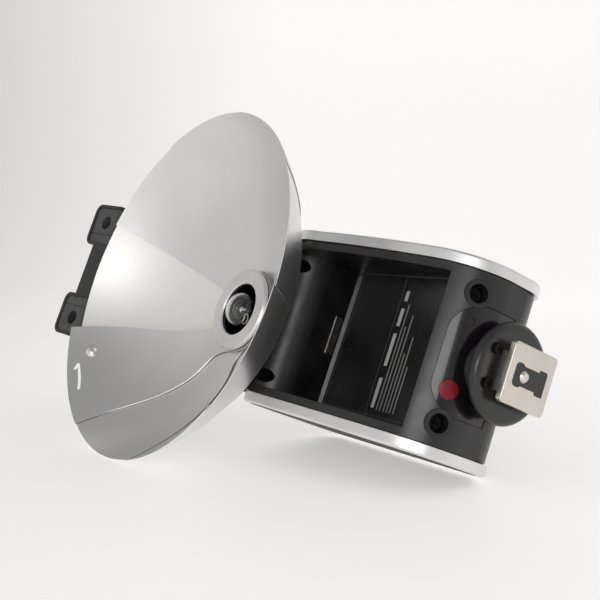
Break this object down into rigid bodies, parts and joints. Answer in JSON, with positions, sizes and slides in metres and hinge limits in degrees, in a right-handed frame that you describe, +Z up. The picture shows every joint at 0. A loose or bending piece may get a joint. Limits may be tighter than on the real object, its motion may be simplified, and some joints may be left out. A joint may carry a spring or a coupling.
{
  "type": "camera flash gun",
  "caption": "Shoe-mounted camera flash gun with a round folding fan reflector, bare bulb in its hub, silver side frames and controls on the back.",
  "frame": {"origin": "centre of the shoe foot's underside", "axes": "+Z up from the foot through the body and the open lid, -Y to the front where the reflector opens, +X to the right of someone looking along +Y"},
  "size_m": [0.1276, 0.0829, 0.1913],
  "materials": {
    "nickel_steel": "satin nickel plate",
    "black_plastic": "fine-textured black",
    "gloss_black": "semi-gloss black",
    "satin_black": "satin black",
    "anodised_black": "black anodised",
    "black_steel": "black oxide",
    "dark_window": "dark translucent, glossy",
    "red_window": "dark red translucent",
    "satin_silver": "satin silver",
    "brushed_silver": "satin silver",
    "grained_silver": "bright, fine grain",
    "chrome": "polished",
    "leatherette": "black leatherette grain",
    "green_board": "solder mask",
    "blue_sleeve": "shrink sleeve",
    "black_foam": "foam",
    "black_sleeve": "shrink sleeve",
    "copper_coil": "lacquered copper",
    "grey_plastic": "satin",
    "dial_metal": "machined silver",
    "scale_black": "satin black with pale marks",
    "clear_glass": "clear"
  },
  "bodies": {
    "body": {"back_shell": "black_plastic", "battery": "blue_sleeve", "battery_foam": "black_foam", "button_switch": "grey_plastic", "catch_plate": "nickel_steel", "circuit_board": "green_board", "contact_spring": "nickel_steel", "dial_encoder": "grey_plastic", "foot_insulator": "black_plastic", "foot_plate": "nickel_steel", "foot_screws": "black_steel", "front_shell": "black_plastic", "hinge_pins": "nickel_steel", "main_capacitor": "black_sleeve", "pilot_lamp": "red_window", "scale_plate": "scale_black", "sensor_lens": "red_window", "sensor_window": "dark_window", "shell_screws": "black_steel", "shoe_pedestal": "black_plastic", "side_frame_left": "satin_silver", "side_frame_right": "satin_silver", "side_panel_left": "leatherette", "side_panel_right": "leatherette", "slide_switch": "grey_plastic", "sync_jack": "nickel_steel", "trigger_coil": "copper_coil", "usb_port": "nickel_steel"},
    "lid": {"lid_cover": "gloss_black", "lid_frame": "satin_black", "lid_screws": "black_steel", "hub_base": "satin_black", "hub_sleeve": "anodised_black", "hub_ring": "satin_silver", "bulb_socket": "anodised_black", "bulb_glass": "clear_glass", "flash_tube": "clear_glass", "electrode_caps": "nickel_steel", "trigger_wire": "nickel_steel", "fixed_sector": "grained_silver"},
    "blade_1": {"blade_1": "brushed_silver", "blade_stud": "chrome"},
    "blade_2": {"blade_2": "brushed_silver"},
    "blade_3": {"blade_3": "brushed_silver"},
    "blade_4": {"blade_4": "brushed_silver"},
    "blade_5": {"blade_5": "brushed_silver"},
    "blade_6": {"blade_6": "brushed_silver"},
    "blade_7": {"blade_7": "brushed_silver"},
    "blade_8": {"blade_8": "brushed_silver"},
    "power_dial": {"power_dial": "dial_metal"},
    "mode_switch": {"mode_switch": "black_plastic"},
    "test_button": {"test_button": "grey_plastic"},
    "foot_contact": {"foot_contact": "nickel_steel"}
  },
  "joints": [
    {"name": "lid_hinge", "type": "hinge", "parent": "body", "child": "lid", "pos_m": [0, -0.0305, 0.0996], "axis": [1, 0, 0], "range_deg": [0, 8]},
    {"name": "blade_1_turn", "type": "hinge", "parent": "lid", "child": "blade_1", "pos_m": [0, -0.0316, 0.1114], "axis": [0, 1, 0], "range_deg": [-320, 0]},
    {"name": "blade_2_turn", "type": "hinge", "parent": "lid", "child": "blade_2", "pos_m": [0, -0.03105, 0.1114], "axis": [0, 1, 0], "range_deg": [-280, 0]},
    {"name": "blade_3_turn", "type": "hinge", "parent": "lid", "child": "blade_3", "pos_m": [0, -0.0305, 0.1114], "axis": [0, 1, 0], "range_deg": [-240, 0]},
    {"name": "blade_4_turn", "type": "hinge", "parent": "lid", "child": "blade_4", "pos_m": [0, -0.02995, 0.1114], "axis": [0, 1, 0], "range_deg": [-200, 0]},
    {"name": "blade_5_turn", "type": "hinge", "parent": "lid", "child": "blade_5", "pos_m": [0, -0.0294, 0.1114], "axis": [0, 1, 0], "range_deg": [-160, 0]},
    {"name": "blade_6_turn", "type": "hinge", "parent": "lid", "child": "blade_6", "pos_m": [0, -0.02885, 0.1114], "axis": [0, 1, 0], "range_deg": [-120, 0]},
    {"name": "blade_7_turn", "type": "hinge", "parent": "lid", "child": "blade_7", "pos_m": [0, -0.0283, 0.1114], "axis": [0, 1, 0], "range_deg": [-80, 0]},
    {"name": "blade_8_turn", "type": "hinge", "parent": "lid", "child": "blade_8", "pos_m": [0, -0.02775, 0.1114], "axis": [0, 1, 0], "range_deg": [-40, 0]},
    {"name": "power_dial_turn", "type": "hinge", "parent": "body", "child": "power_dial", "pos_m": [0, 0.013, 0.062], "axis": [0, 1, 0], "range_deg": [-150, 150]},
    {"name": "mode_switch_slide", "type": "slide", "parent": "body", "child": "mode_switch", "axis": [1, 0, 0], "range_m": [-0.0025, 0.0025]},
    {"name": "test_button_press", "type": "slide", "parent": "body", "child": "test_button", "axis": [0, -1, 0], "range_m": [0, 0.001], "stiffness_N_per_m": 600, "springref_m": -0.0005},
    {"name": "foot_contact_press", "type": "slide", "parent": "body", "child": "foot_contact", "axis": [0, 0, 1], "range_m": [0, 0.0005], "stiffness_N_per_m": 600, "springref_m": -0.0005, "deforming": ["contact_spring"]}
  ],
  "couplings": [
    {"joint": "blade_2_turn", "follows": "blade_1_turn", "ratio": 0.875},
    {"joint": "blade_3_turn", "follows": "blade_1_turn", "ratio": 0.75},
    {"joint": "blade_4_turn", "follows": "blade_1_turn", "ratio": 0.625},
    {"joint": "blade_5_turn", "follows": "blade_1_turn", "ratio": 0.5},
    {"joint": "blade_6_turn", "follows": "blade_1_turn", "ratio": 0.375},
    {"joint": "blade_7_turn", "follows": "blade_1_turn", "ratio": 0.25},
    {"joint": "blade_8_turn", "follows": "blade_1_turn", "ratio": 0.125}
  ]
}
